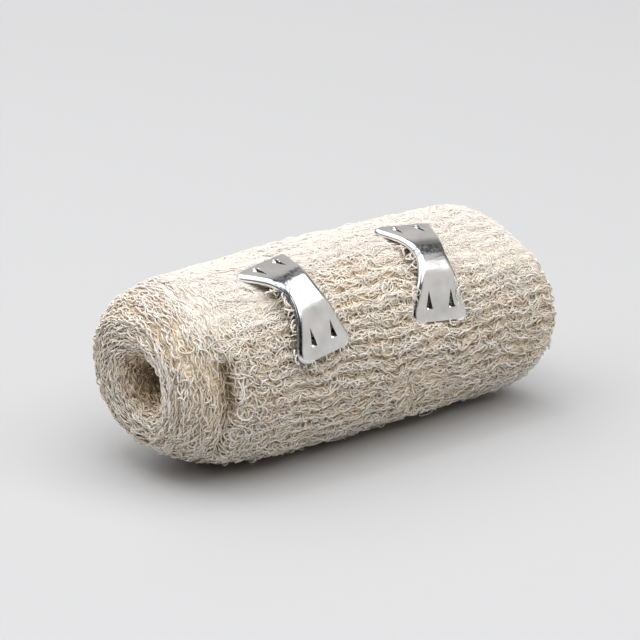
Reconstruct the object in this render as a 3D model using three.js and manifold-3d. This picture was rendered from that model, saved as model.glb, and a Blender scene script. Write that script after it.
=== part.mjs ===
// A crepe bandage wound into a roll and held by two toothed metal clips.
// Millimetres, +Z up. The roll's axis runs along X and the roll rests on a small flat spot at Z = 0.
import * as THREE from 'three';
import { mergeVertices } from 'three/addons/utils/BufferGeometryUtils.js';
import Module from 'manifold-3d';

const wasm = await Module();
wasm.setup();

// Driving dimensions
const ROLL = {
  ribs: 44, // crinkle ribs around the outermost turn
  ribHeight: 0.25,
  ribWander: 1.3, // degrees
  ridgePitch: 2.25, // between the ridges that the turns make on each end
  ridgeHeight: 0.5,
  firstRidge: 4.6, // radius at which the ridges start, outside the hollow core
  lastRidge: 13.8,
  tailAngle: 42, // where the cloth's cut end lies, in degrees up from the front
  tailStep: 0.5, // height of the step that it makes
  axisHeight: 17.0, // from the flat spot to the axis
};

// Mean radius of the outermost turn, along the roll
const girth = [
  { x: -28, radius: 16.1 },
  { x: -24, radius: 16.4 },
  { x: -19, radius: 16.8 },
  { x: -14, radius: 17.1 },
  { x: -7, radius: 17.3 },
  { x: 0, radius: 17.4 },
  { x: 14, radius: 17.3 },
  { x: 28, radius: 17.1 },
  { x: 40, radius: 17.1 },
];

// The near end from the floor of the hollow core, over its crest, to where the side has its full radius.
// Open is how far a point sinks where the outermost turn stands off the inner ones, and edge is the share
// that it takes in that turn's set-back.
const nearEnd = {
  crest: -38.6,
  profile: [
    { radius: 0, back: 12.2 },
    { radius: 2.2, back: 11.6 },
    { radius: 3.2, back: 9.0 },
    { radius: 3.5, back: 5.8 },
    { radius: 3.9, back: 3.5 },
    { radius: 4.4, back: 2.0 },
    { radius: 5.0, back: 1.05 },
    { radius: 5.8, back: 0.45 },
    { radius: 6.7, back: 0.1 },
    { radius: 7.6, back: 0 },
    { radius: 8.5, back: 0.05 },
    { radius: 9.4, back: 0.2 },
    { radius: 10.2, back: 0.45 },
    { radius: 11.0, back: 0.85 },
    { radius: 11.7, back: 1.4 },
    { radius: 12.4, back: 2.0 },
    { radius: 13.0, back: 2.8 },
    { radius: 13.6, back: 3.7 },
    { radius: 14.1, back: 4.7, edge: 0.3 },
    { radius: 14.6, back: 5.8, open: 0.1, edge: 0.7 },
    { radius: 14.95, back: 6.7, open: 0.5, edge: 1 },
    { radius: 15.15, back: 7.5, open: 1.3, edge: 1 },
    { radius: 15.3, back: 7.9, open: 1.2, edge: 1 },
    { radius: 15.6, back: 7.8, open: -0.1, edge: 1 },
    { radius: 15.8, back: 8.3, open: -0.5, edge: 1 },
    { radius: 15.9, back: 9.3, open: -0.55, edge: 0.7 },
    { radius: 16.0, back: 10.5, open: -0.4, edge: 0.3 },
  ],
};

// How far the outermost turn stands off at the near end, and how far its edge is set back there,
// by the angle up from the front
const opening = [
  { angle: -180, share: 0.25, setBack: 0 },
  { angle: -60, share: 0.3, setBack: 0 },
  { angle: -20, share: 0.6, setBack: 0.5 },
  { angle: 3, share: 1, setBack: 1.8 },
  { angle: 20, share: 0.8, setBack: 1.8 },
  { angle: 42, share: 0.5, setBack: 0.3 },
  { angle: 70, share: 0.3, setBack: 0 },
  { angle: 180, share: 0.25, setBack: 0 },
];

// The far end from its rounded corner to the floor of its hollow core
const farEnd = {
  crest: 39.2,
  corner: 6.4,
  profile: [
    { radius: 10.2, back: 0 },
    { radius: 9.4, back: 0 },
    { radius: 8.5, back: 0.05 },
    { radius: 7.6, back: 0.1 },
    { radius: 6.7, back: 0.25 },
    { radius: 5.8, back: 0.7 },
    { radius: 5.0, back: 1.4 },
    { radius: 4.3, back: 2.6 },
    { radius: 3.7, back: 4.4 },
    { radius: 3.3, back: 7.4 },
    { radius: 2.3, back: 10.4 },
    { radius: 0, back: 11.2 },
  ],
};

// How the ends have drifted along the roll: at the front, at the top, and at both against top and bottom
const drift = {
  near: { front: 0.8, top: -1.05, both: -0.5 },
  far: { front: 0.65, top: -0.85, both: 1.8 },
  radius: 16, // at which the amounts hold
};
const rise = { from: -20, to: -33, height: 1 }; // the near end lifts off the surface

const CLIP = {
  length: 24, // along the bent strip
  endWidth: 13,
  waist: 5.2,
  flare: 1.45, // power by which the strip widens from its waist to its ends
  corner: 2,
  sheet: 0.45,
  rim: 0.95, // height of the turned-down long edges
  bendRadius: 8.6,
  bendArc: 5.64, // half of the bent middle, along the strip
};
const TOOTH = { base: 9.4, length: 3.2, width: 1.3, tip: 0.2, spacing: 4.4 };
const seatGap = 0.32; // between a clip and the cloth it bites into

// Where each clip sits: along the roll, up from the front, its crown's height over the axis, and its turns
const clips = [
  { name: 'clip_left', x: -13.5, angle: 49.2, height: 20.1, skew: 9.0, tilt: -3.3 },
  { name: 'clip_right', x: 14.5, angle: 51.4, height: 19.3, skew: -8.4, tilt: 0.1 },
];
const dent = { along: 7, around: 5.5 }; // reach of the hollow that each clip end presses into the roll

const AROUND = 2 * ROLL.ribs; // one column on each rib and one in each valley
const COLUMN = 360 / AROUND;
const radians = THREE.MathUtils.degToRad;
const degrees = THREE.MathUtils.radToDeg;

const { clamp, euclideanModulo, inverseLerp, lerp, mapLinear } = THREE.MathUtils;

// Value of one column of a table at a place between its rows
function fromTable(table, key, column, place) {
  const next = table.findIndex((row) => row[key] >= place);
  if (next === 0) return table[0][column];
  if (next < 0) return table[table.length - 1][column];
  const [low, high] = [table[next - 1], table[next]];
  return mapLinear(place, low[key], high[key], low[column], high[column]);
}

// A point at a distance along the clip's bent strip, lifted off its outer face
function onStrip(along, lift = 0) {
  const reach = Math.abs(along);
  const bend = Math.min(reach, CLIP.bendArc) / CLIP.bendRadius;
  const straight = Math.max(reach - CLIP.bendArc, 0);
  const y = (CLIP.bendRadius + lift) * Math.sin(bend) + straight * Math.cos(bend);
  const z = (CLIP.bendRadius + lift) * Math.cos(bend) - CLIP.bendRadius - straight * Math.sin(bend);
  return new THREE.Vector2(Math.sign(along) * y, z);
}

// The frame in which a clip is made, placed on the roll: X across the strip, Y up the roll, Z outwards
function placedOnRoll(clip, mesh) {
  const hub = new THREE.Group();
  hub.position.x = clip.x;
  hub.rotation.x = Math.PI / 2 - radians(clip.angle);
  mesh.position.z = clip.height;
  mesh.rotation.set(radians(clip.tilt), 0, radians(clip.skew), 'ZXY');
  hub.add(mesh);
  return hub;
}

// Both ends of each clip as places on the roll, with the depth to which each presses the cloth
function pressedPlaces() {
  const places = [];
  for (const clip of clips) {
    const probe = new THREE.Object3D();
    placedOnRoll(clip, probe).updateMatrixWorld(true);
    for (const end of [-TOOTH.base, TOOTH.base]) {
      const { x: y, y: z } = onStrip(end);
      const point = new THREE.Vector3(0, y, z).applyMatrix4(probe.matrixWorld);
      const height = Math.hypot(point.y, point.z);
      const full = fromTable(girth, 'x', 'radius', point.x);
      places.push({
        x: point.x,
        angle: degrees(Math.atan2(point.z, -point.y)),
        depth: Math.max(full - (height - CLIP.sheet - seatGap), 0),
      });
    }
  }
  return places;
}
const pressed = pressedPlaces();

// Difference of two angles in degrees, from -180 to 180
const turnBetween = (a, b) => euclideanModulo(a - b + 180, 360) - 180;

// The slow unevenness of a hand-wound roll, about 1 at most
function unevenness(x, angle) {
  const around = radians(angle);
  return 0.45 * Math.sin(2 * around + x / 17)
    + 0.3 * Math.sin(3 * around - x / 11 + 1.7)
    + 0.25 * Math.cos(x / 6.1 + 1.3 * Math.sin(around));
}

function outerRadius(x, angle) {
  const wound = euclideanModulo(angle - ROLL.tailAngle, 360) / 360;
  let radius = fromTable(girth, 'x', 'radius', x) + 0.2 * unevenness(x, angle);
  radius += (wound - 0.5) * ROLL.tailStep;
  for (const place of pressed) {
    const along = (x - place.x) / dent.along;
    const around = (radians(turnBetween(angle, place.angle)) * radius) / dent.around;
    radius -= place.depth * Math.exp(-(along ** 2) - around ** 2);
  }
  return radius;
}

// Crinkle ribs: each even column is a crest and each odd one a valley, stronger and weaker along the roll
function rib(x, column) {
  const crest = column % 2 === 0 ? 1 : -1;
  const strength = 0.75 + 0.35 * Math.sin(x / 4.3 + 2.4 * column) + 0.2 * Math.sin(x / 2.1 - 1.1 * column);
  return crest * strength * ROLL.ribHeight;
}
const ribTurn = (x, column) => ROLL.ribWander * Math.sin(x / 7.5 + 0.9 * Math.sin(column * 0.7));

// Ridges of the wound turns on an end: a rounded crest on each turn and a sharp groove between turns
function turnRidge(radius, angle) {
  if (radius < ROLL.firstRidge || radius > ROLL.lastRidge) return 0;
  const turn = euclideanModulo(radius / ROLL.ridgePitch - angle / 360, 1);
  return ROLL.ridgeHeight * (Math.sqrt(Math.sin(Math.PI * turn)) - 0.6);
}

function driftOf({ front, top, both }, radius, angle) {
  const share = radius / drift.radius;
  const around = radians(angle);
  const once = front * Math.cos(around) + top * Math.sin(around);
  return share * once + share ** 2 * both * Math.cos(2 * around);
}

// The rows of the roll's skin, from the axis at the near end to the axis at the far end.
// Each gives its place for an angle: how far along the axis, at what radius and how far turned.
function skinRows() {
  const rows = [];
  for (const { radius, back, open = 0, edge = 0 } of nearEnd.profile) {
    rows.push((angle) => {
      const sunk = open * fromTable(opening, 'angle', 'share', angle);
      const setBack = edge * fromTable(opening, 'angle', 'setBack', angle);
      const stood = back + setBack + 0.3 * sunk - turnRidge(radius, angle);
      return { x: nearEnd.crest + stood + driftOf(drift.near, radius, angle), radius: radius - sunk };
    });
  }
  const sideStart = { radius: 16.2, x: -27.2 };
  const sideEnd = farEnd.crest - farEnd.corner;
  const sideRows = 17;
  for (let row = 0; row <= sideRows; row += 1) {
    const along = row / sideRows;
    rows.push((angle, column) => {
      const start = sideStart.x + driftOf(drift.near, sideStart.radius, angle);
      const end = sideEnd + driftOf(drift.far, girth[girth.length - 1].radius, angle);
      const x = lerp(start, end, along);
      const strength = Math.min(4 * along + 0.3, 1);
      return { x, radius: outerRadius(x, angle) + strength * rib(x, column), turn: ribTurn(x, column) };
    });
  }
  const cornerRows = 5;
  for (let row = 1; row <= cornerRows; row += 1) {
    const bend = (row / cornerRows) * (Math.PI / 2);
    const fade = Math.cos(bend);
    rows.push((angle, column) => {
      const full = outerRadius(sideEnd, angle);
      const radius = full - farEnd.corner + farEnd.corner * fade;
      const x = sideEnd + farEnd.corner * Math.sin(bend) + driftOf(drift.far, radius, angle);
      return { x, radius: radius + fade * rib(sideEnd, column), turn: fade * ribTurn(sideEnd, column) };
    });
  }
  for (const { radius, back } of farEnd.profile) {
    rows.push((angle) => {
      const x = farEnd.crest - back + turnRidge(radius, angle) + driftOf(drift.far, radius, angle);
      return { x, radius };
    });
  }
  return rows;
}

// The wound roll, about its own axis. A lathe gives the grid, and each point of it is put in its place.
function rollGeometry() {
  const rows = skinRows();
  const onAxis = (index) => index === 0 || index === rows.length - 1;
  const profile = rows.map((_, index) => new THREE.Vector2(onAxis(index) ? 0 : 1, index)).reverse();
  const geometry = new THREE.LatheGeometry(profile, AROUND);
  const position = geometry.getAttribute('position');
  for (let i = 0; i < position.count; i += 1) {
    const index = Math.round(position.getY(i));
    const lathe = degrees(Math.atan2(position.getX(i), position.getZ(i)));
    const column = euclideanModulo(Math.round(lathe / COLUMN), AROUND);
    const angle = turnBetween(column * COLUMN, 0);
    const { x, radius, turn = 0 } = rows[index](onAxis(index) ? 0 : angle, column);
    const around = radians(angle + turn);
    const lift = rise.height * clamp(inverseLerp(rise.from, rise.to, x), 0, 1);
    const z = Math.max(radius * Math.sin(around) + lift, -ROLL.axisHeight);
    position.setXYZ(i, x, -radius * Math.cos(around), z);
  }
  return geometry;
}

// A closed geometry as a solid, and back
function solid(geometry) {
  geometry.deleteAttribute('normal');
  geometry.deleteAttribute('uv');
  const merged = mergeVertices(geometry, 1e-5);
  const vertProperties = new Float32Array(merged.getAttribute('position').array);
  const triVerts = new Uint32Array(merged.index.array);
  return new wasm.Manifold(new wasm.Mesh({ numProp: 3, vertProperties, triVerts }));
}

function geometryOf(body) {
  const { vertProperties, triVerts } = body.getMesh();
  const geometry = new THREE.BufferGeometry();
  geometry.setAttribute('position', new THREE.BufferAttribute(vertProperties, 3));
  geometry.setIndex(new THREE.BufferAttribute(triVerts, 1));
  geometry.computeVertexNormals();
  return geometry;
}

const flat = { bevelEnabled: false, steps: 1 };
const wide = 20; // more than the clip's width

// The side view of the strip between two lifts off its outer face, drawn out across it
function stripBand(low, high, beyond = 0) {
  const end = CLIP.length / 2 + beyond;
  const bendSteps = 8;
  const stops = [-end];
  for (let step = -bendSteps; step <= bendSteps; step += 1) stops.push((step / bendSteps) * CLIP.bendArc);
  stops.push(end);
  const upper = stops.map((along) => onStrip(along, high));
  const lower = stops.map((along) => onStrip(along, low)).reverse();
  const geometry = new THREE.ExtrudeGeometry(new THREE.Shape([...lower, ...upper]), { ...flat, depth: wide });
  geometry.translate(0, 0, -wide / 2);
  const [across, up, out] = [0, 1, 2].map((axis) => new THREE.Vector3().setComponent(axis, 1));
  return solid(geometry.applyMatrix4(new THREE.Matrix4().makeBasis(up, out, across)));
}

// The clip's outline seen from above: a waist, flared ends and rounded corners
function stripOutline(grow, rounded = true, beyond = 0) {
  const end = CLIP.length / 2 + beyond;
  const steps = 24;
  const halfWidth = (along) => {
    const reach = Math.abs(along);
    const flare = (reach / (CLIP.length / 2)) ** CLIP.flare;
    const full = lerp(CLIP.waist, CLIP.endWidth, flare) / 2;
    const past = Math.max(reach - (end - CLIP.corner), 0);
    const cut = rounded ? CLIP.corner - Math.sqrt(Math.max(CLIP.corner ** 2 - past ** 2, 0)) : 0;
    return full + grow - cut;
  };
  const right = [];
  for (let step = -steps; step <= steps; step += 1) {
    // more points near the rounded corners
    const along = end * Math.sin((step / steps) * (Math.PI / 2));
    right.push(new THREE.Vector2(halfWidth(along), onStrip(along).x));
  }
  const left = right.map(({ x, y }) => new THREE.Vector2(-x, y)).reverse();
  const geometry = new THREE.ExtrudeGeometry(new THREE.Shape([...right, ...left]), { ...flat, depth: wide });
  return solid(geometry.translate(0, 0, -wide * 0.7));
}

// Moves a tooth's or hole's geometry from the strip's straight end, with Y towards the middle, to its place
function onPlate(geometry, across, turn) {
  const base = onStrip(-TOOTH.base);
  geometry.rotateX(CLIP.bendArc / CLIP.bendRadius);
  geometry.translate(across, base.x, base.y);
  return solid(geometry.rotateZ(turn));
}

// The three-cornered hole that a tooth leaves, wide at the tooth's root
function toothHole() {
  const half = TOOTH.width / 2;
  const shape = new THREE.Shape([
    new THREE.Vector2(-half, 0), new THREE.Vector2(half, 0), new THREE.Vector2(0, TOOTH.length),
  ]);
  const through = 2;
  return new THREE.ExtrudeGeometry(shape, { ...flat, depth: through }).translate(0, 0, -through / 2);
}

// A tooth bent square to the strip, or the slot that it makes in the cloth
function tooth(grow = 0) {
  const half = TOOTH.width / 2 + grow;
  const tip = TOOTH.tip / 2 + grow;
  const low = -CLIP.sheet / 2 - TOOTH.length - grow;
  const high = -0.05;
  const shape = new THREE.Shape([
    new THREE.Vector2(-half, high), new THREE.Vector2(-tip, low),
    new THREE.Vector2(tip, low), new THREE.Vector2(half, high),
  ]);
  const thick = CLIP.sheet + 2 * grow;
  const blade = new THREE.ExtrudeGeometry(shape, { ...flat, depth: thick }).translate(0, 0, -thick / 2);
  return blade.rotateX(Math.PI / 2).translate(0, -CLIP.sheet / 4, 0);
}

// Calls a maker for each of the four teeth and lists what it makes
function atEachTooth(make) {
  const made = [];
  for (const turn of [0, Math.PI]) {
    for (const side of [-1, 1]) made.push(onPlate(make(), (side * TOOTH.spacing) / 2, turn));
  }
  return made;
}

function clipGeometry() {
  const skin = stripBand(-CLIP.rim, 0).intersect(stripOutline(0));
  const channel = stripBand(-CLIP.rim - 1, -CLIP.sheet, 1).intersect(stripOutline(-CLIP.sheet, false, 1));
  let body = skin.subtract(channel);
  for (const hole of atEachTooth(toothHole)) body = body.subtract(hole);
  for (const blade of atEachTooth(tooth)) body = body.add(blade);
  return geometryOf(body);
}

// Everything that a clip keeps free of cloth
function clipSeat() {
  const above = 3;
  const slanted = 1.3 * seatGap; // measured across the slant of the strip's edges and ends
  const outline = stripOutline(slanted, true, slanted);
  let seat = stripBand(-CLIP.rim - seatGap, above, slanted).intersect(outline);
  for (const slot of atEachTooth(() => tooth(seatGap))) seat = seat.add(slot);
  return geometryOf(seat);
}

const cotton = new THREE.MeshStandardMaterial({ color: 0xe3d8c8, roughness: 0.95, metalness: 0 });
const metal = new THREE.MeshStandardMaterial({ color: 0xc4c6c8, roughness: 0.28, metalness: 1 });

const bandage = new THREE.Group();
const clipShape = clipGeometry();
const seatShape = clipSeat();
let wound = solid(rollGeometry());
for (const clip of clips) {
  const mesh = new THREE.Mesh(clipShape, metal);
  mesh.name = clip.name;
  const hub = placedOnRoll(clip, mesh);
  hub.updateMatrixWorld(true);
  wound = wound.subtract(solid(seatShape.clone().applyMatrix4(mesh.matrixWorld)));
  bandage.add(hub);
}
const roll = new THREE.Mesh(geometryOf(wound), cotton);
roll.name = 'roll';
bandage.add(roll);

// The origin is under the middle of the whole, on the surface it rests on
const box = new THREE.Box3().setFromObject(bandage, true);
const middle = box.getCenter(new THREE.Vector3());
bandage.position.set(-middle.x, -middle.y, -box.min.z);

export default bandage;
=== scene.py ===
# A crepe bandage wound into a roll, with the two toothed clips that hold its cut end.
# Shapes are worked out in millimetres about the roll's axis, and turned to metres in the meshes.
from math import pi, radians

import bpy
import numpy as np
from mathutils import Matrix, Vector


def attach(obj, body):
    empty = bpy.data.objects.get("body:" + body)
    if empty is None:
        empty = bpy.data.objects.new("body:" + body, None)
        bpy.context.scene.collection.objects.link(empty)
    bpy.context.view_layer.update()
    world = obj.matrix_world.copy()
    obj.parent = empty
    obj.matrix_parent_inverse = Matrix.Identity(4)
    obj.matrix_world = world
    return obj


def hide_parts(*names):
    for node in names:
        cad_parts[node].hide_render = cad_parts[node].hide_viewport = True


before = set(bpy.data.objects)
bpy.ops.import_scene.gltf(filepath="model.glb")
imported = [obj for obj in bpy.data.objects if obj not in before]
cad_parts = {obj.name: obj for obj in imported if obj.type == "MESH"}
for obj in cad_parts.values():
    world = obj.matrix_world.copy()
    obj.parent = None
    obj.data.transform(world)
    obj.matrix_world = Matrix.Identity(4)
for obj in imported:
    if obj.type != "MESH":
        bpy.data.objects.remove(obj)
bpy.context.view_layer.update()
mm = 0.001
dice = np.random.default_rng(20)
axisPoint = np.array([-0.591, 0.372, 17.0])  # where the roll's axis runs, in millimetres


def onlySelect(obj):
    bpy.ops.object.select_all(action="DESELECT")
    obj.select_set(True)
    bpy.context.view_layer.objects.active = obj


def applyAll(obj):
    onlySelect(obj)
    for modifier in list(obj.modifiers):
        bpy.ops.object.modifier_apply(modifier=modifier.name)


def pointsOf(obj):
    return np.array([vertex.co for vertex in obj.data.vertices])


# a grid primitive, with its two running numbers from 0 to 1 for each point
def addGrid(name, steps, across):
    bpy.ops.mesh.primitive_grid_add(x_subdivisions=steps, y_subdivisions=across, size=1)
    obj = bpy.context.object
    obj.name = obj.data.name = name
    flat = pointsOf(obj)
    return obj, flat[:, 0] + 0.5, flat[:, 1] + 0.5


def movePoints(obj, points):
    obj.data.vertices.foreach_set("co", np.ascontiguousarray(points, dtype=np.float32).ravel())
    obj.data.update()


# merges what meets, turns the faces outwards and smooths, up to an angle if one is given
def cleanUp(obj, merge, sharp=None):
    onlySelect(obj)
    bpy.ops.object.mode_set(mode="EDIT")
    bpy.ops.mesh.select_all(action="SELECT")
    bpy.ops.mesh.remove_doubles(threshold=merge)
    bpy.ops.mesh.normals_make_consistent(inside=False)
    bpy.ops.object.mode_set(mode="OBJECT")
    if sharp is None:
        bpy.ops.object.shade_smooth()
    else:
        bpy.ops.object.shade_smooth_by_angle(angle=radians(sharp))


def addPointValues(mesh, name, values):
    layer = mesh.attributes.new(name, "FLOAT", "POINT")
    layer.data.foreach_set("value", np.ascontiguousarray(values, dtype=np.float32))


# reads a table of rows by their first number, in between them too
def lookedUp(table, value, column=1):
    return np.interp(value, [row[0] for row in table], [row[column] for row in table])


def unit(vectors):
    return vectors / np.maximum(np.linalg.norm(vectors, axis=-1, keepdims=True), 1e-9)


# from 0 at the start to 1 at the end, where either may be the larger
def rising(value, start, end):
    return np.clip((value - start) / (end - start), 0, 1)


# 1 at the middle, fading on both sides of it
def close(value, middle, reach):
    return np.exp(-(((value - middle) / reach) ** 2))


def eased(share):
    return share * share * (3 - 2 * share)


def spread(low, high, count):
    return dice.uniform(low, high, (count, 1))


# a table's values between its cells, where the columns go round; s and t are shares of a cell
def between(table, i, j, s, t):
    j = j % table.shape[1]
    k = (j + 1) % table.shape[1]
    low = table[i, j] * (1 - t) + table[i, k] * t
    high = table[i + 1, j] * (1 - t) + table[i + 1, k] * t
    return low * (1 - s) + high * s


# soft random hills of some height; v goes round once from 0 to 1
def hilly(u, v, kind):
    amount, cellsU, cellsV, seed = kind
    lattice = np.random.default_rng(seed).uniform(-1, 1, (cellsU + 2, cellsV))
    a = np.clip(u, 0, 0.9999) * cellsU
    b = (v % 1.0) * cellsV
    i, j = np.floor(a).astype(int), np.floor(b).astype(int)
    return amount * between(lattice, i, j, eased(a - i), eased(b - j))


# the clips' shape and places come first, because the cloth and its threads make room for them
clipShape = {
    "half": 12.0,  # half of the strip's length before its ends are trimmed
    "trimFrom": 9.8,
    "ends": {"lower": 11.5, "upper": 10.5},
    "endWidth": 12.7,
    "waist": 5.2,
    "flare": 1.45,
    "corner": 3.1,
    "sheet": 0.34,
    "rim": 0.85,  # how far the long edges turn down
    "rimFade": 1.8,  # how far from the ends the rims run out
    "rounding": 0.42,  # radius of the turned edges
    "leastRounding": 0.02,
    "bendRadius": 8.6,
    "bendArc": 5.64,
    "leanReach": 5.5,  # how far along the strip the lean of its bend is felt
    "toothBase": 9.7,
    "toothLength": 3.9,
    "toothWidth": 1.65,
    "toothSpacing": 4.4,
    "undercut": 0.55,  # how much wider the holes grow for each millimetre inwards
}
clipPlaces = {
    "clip_left": {"x": -13.5, "angle": 49.2, "height": 20.1, "skew": 9.0, "tilt": -3.3, "lean": 0.065},
    "clip_right": {"x": 14.5, "angle": 51.4, "height": 19.3, "skew": -8.4, "tilt": 0.1, "lean": 0.0},
}
clipRoom = {
    "rimBeside": 0.8,  # how far in from the strip's side its rim needs room
    "rimShort": 1.0,  # and how far from its end the rim stops
    "slope": 2.2,  # how steeply the cloth rises beside the clip
    "slopeReach": 3.0,
    "beside": 1.0,  # how far out from the clip's outline the cloth gives way
    "hollowFrom": 0.6, "hollowReach": 1.2,  # the hollow under the strip starts inside its outline
    "lowest": -9.0,  # below this the clip's own frame says nothing about the cloth
}


def clipMatrix(place):
    return (
        Matrix.Translation((place["x"], 0, 0))
        @ Matrix.Rotation(pi / 2 - radians(place["angle"]), 4, "X")
        @ Matrix.Translation((0, 0, place["height"]))
        @ Matrix.Rotation(radians(place["skew"]), 4, "Z")
        @ Matrix.Rotation(radians(place["tilt"]), 4, "X")
    )


# a point of the bent strip from its distance along it and its lift off the outer face
def onStrip(along, lift):
    radius = clipShape["bendRadius"]
    reach = np.abs(along)
    turn = np.minimum(reach, clipShape["bendArc"]) / radius
    rest = np.maximum(reach - clipShape["bendArc"], 0)
    y = (radius + lift) * np.sin(turn) + rest * np.cos(turn)
    z = (radius + lift) * np.cos(turn) - radius - rest * np.sin(turn)
    return np.sign(along) * y, z


# the other way round: distance along the strip and lift, from a place in the clip's own frame
def stripCoords(y, z):
    radius = clipShape["bendRadius"]
    most = clipShape["bendArc"] / radius
    reach = np.abs(y)
    turn = np.arctan2(reach, np.maximum(z + radius, 1e-6))
    y0, z0 = radius * np.sin(most), radius * np.cos(most) - radius
    straight = (reach - y0) * np.cos(most) - (z - z0) * np.sin(most)
    offPlate = (reach - y0) * np.sin(most) + (z - z0) * np.cos(most)
    bent = turn <= most
    along = np.where(bent, turn * radius, clipShape["bendArc"] + straight)
    lift = np.where(bent, np.hypot(reach, z + radius) - radius, offPlate)
    return np.sign(y) * along, lift


def endOf(along):
    return np.where(along < 0, clipShape["ends"]["lower"], clipShape["ends"]["upper"])


# moves the places past where the trim starts, so that one end length becomes another
def stretched(along, oldEnd, newEnd):
    start = clipShape["trimFrom"]
    over = np.maximum(np.abs(along) - start, 0)
    share = (newEnd - start) / (oldEnd - start)
    return np.sign(along) * (np.minimum(np.abs(along), start) + over * share)


def trimmed(along):
    return stretched(along, clipShape["half"], endOf(along))


def untrimmed(along):
    return stretched(along, endOf(along), clipShape["half"])


def halfWidth(along):
    reach = np.abs(along)
    flare = (reach / clipShape["half"]) ** clipShape["flare"]
    full = (clipShape["waist"] + (clipShape["endWidth"] - clipShape["waist"]) * flare) / 2
    past = np.clip(reach - (clipShape["half"] - clipShape["corner"]), 0, clipShape["corner"])
    return full - (clipShape["corner"] - np.sqrt(clipShape["corner"] ** 2 - past**2))


# how far points have to sink along the clip's outward direction to lie under it, and that direction
def sinkUnderClips(points, spare, hollow=0.0):
    sink = np.zeros(points.shape[:-1])
    towards = np.zeros_like(points)
    for place in clipPlaces.values():
        matrix = np.array(clipMatrix(place))
        local = (points - matrix[:3, 3]) @ matrix[:3, :3]
        along, lift = stripCoords(local[..., 1], local[..., 2])
        width = halfWidth(np.clip(untrimmed(along), -clipShape["half"], clipShape["half"]))
        beside = np.abs(local[..., 0]) - width
        outside = np.maximum(beside, np.abs(along) - endOf(along))
        onRim = (beside > -clipRoom["rimBeside"]) & (np.abs(along) < endOf(along) - clipRoom["rimShort"])
        edge = np.where(onRim, clipShape["rim"], clipShape["sheet"])
        inwards = np.clip(outside + clipRoom["hollowFrom"], -clipRoom["hollowReach"], 0)
        floor = -edge - spare + np.clip(outside, 0, clipRoom["slopeReach"]) * clipRoom["slope"]
        floor = floor + inwards * hollow
        under = (outside < clipRoom["beside"]) & (local[..., 2] > clipRoom["lowest"])
        wanted = np.where(under, lift - floor, 0)
        deeper = wanted > sink
        sink = np.where(deeper, wanted, sink)
        towards[deeper] = matrix[:3, 2]
    return np.maximum(sink, 0), towards


roll = {
    # mean radius of the outermost turn, along the roll
    "girth": [
        (-28, 16.1), (-24, 16.4), (-19, 16.8), (-14, 17.1), (-7, 17.3), (0, 17.4), (14, 17.3), (28, 17.1),
    ],
    "uneven": 0.2,  # how much it swells here and there
    # each swelling's share, how many there are round the roll, length along it, and where they start
    "swellings": [(0.45, 2, 17, 0), (0.3, 3, -11, 1.7)],
    "swaying": (0.25, 6.1, 1.3),  # share, length along the roll, and how far it sways
    "topBulge": 0.26, "bulgeFrom": (-30, -22),
    "farTuck": 0.35, "tuckTurned": 0.2, "tuckFrom": (22, 34),  # underneath, by the far end
    "nearCrest": -38.4,
    # radius, how far behind the crest, how far it sinks where the outer turn stands off, and its share
    # of the outer turn's set-back
    "nearEnd": [
        (0, 12.2, 0, 0), (1.8, 11.4, 0, 0), (2.6, 8.8, 0, 0), (3.0, 5.9, 0, 0), (3.4, 3.8, 0, 0),
        (3.9, 2.4, 0, 0), (4.6, 1.4, 0, 0), (5.4, 0.75, 0, 0), (6.3, 0.3, 0, 0), (7.3, 0.05, 0, 0),
        (8.4, 0.05, 0, 0), (9.4, 0.2, 0, 0), (10.2, 0.45, 0, 0), (11.0, 0.85, 0, 0), (11.7, 1.4, 0, 0),
        (12.4, 2.0, 0, 0), (13.0, 2.8, 0, 0), (13.6, 3.7, 0, 0), (14.1, 4.7, 0, 0.3), (14.6, 5.8, 0.5, 0.7),
        (14.95, 6.7, 2.0, 1), (15.15, 7.5, 3.7, 1), (15.3, 7.9, 3.4, 1), (15.6, 7.8, -0.1, 1),
        (15.8, 8.3, -0.5, 1), (15.9, 9.3, -0.55, 0.7), (16.0, 10.5, -0.4, 0.3),
    ],
    # angle up from the front: how open the cleft behind the outer turn is, and the edge's set-back
    "opening": [
        (-180, 0.05, 0), (-60, 0.1, 0), (-36, 0.3, 0.3), (-22, 0.5, 0.8), (-11, 0.85, 1.4), (0, 1, 1.8),
        (11, 1, 1.8), (18, 0.65, 1.6), (25, 0.2, 1.2), (42, 0.05, 0.3), (70, 0.05, 0), (180, 0.05, 0),
    ],
    "cleftDepth": 3.0,  # sinking by this much counts as being in the cleft
    "sinkSlant": 0.3,  # how far back a sinking point goes for each millimetre
    "hollow": {"front": 2.6, "up": 0.3, "full": 5.0, "none": 11.5},  # the near one's way off the axis
    "sideStart": {"x": -27.2, "radius": 16.2},
    "sideSteps": 34,
    "sideFadeIn": {"from": 0.3, "slope": 4},
    "farRadius": 17.1,
    "farCrest": 39.2,
    "farCorner": 6.4,
    "cornerSteps": 8,
    # radius, and how far behind the crest
    "farEnd": [
        (10.2, 0), (9.4, 0), (8.5, 0.05), (7.6, 0.1), (6.7, 0.25), (5.8, 0.7), (5.0, 1.4), (4.3, 2.6),
        (3.7, 4.4), (3.3, 7.4), (2.3, 10.4), (0, 11.2),
    ],
    # how the ends have drifted along the roll at this radius: front, top, and both against top and bottom
    "driftRadius": 16,
    "nearDrift": (0.8, -1.05, -0.5),
    "farDrift": (0.65, -0.85, 1.8),
    "riseFrom": -20, "riseTo": -33, "rise": 1.0,  # the near end lifts off the surface
    "tailAngle": 42, "tailStep": 0.5,  # where the cut end lies, and its height
    "under": 0.35,  # how far the cloth lies below the tops of its threads
    "closing": 3.0,  # inside this radius the lumps fade out towards the axis
    "rows": 190, "columns": 248,
}
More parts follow.
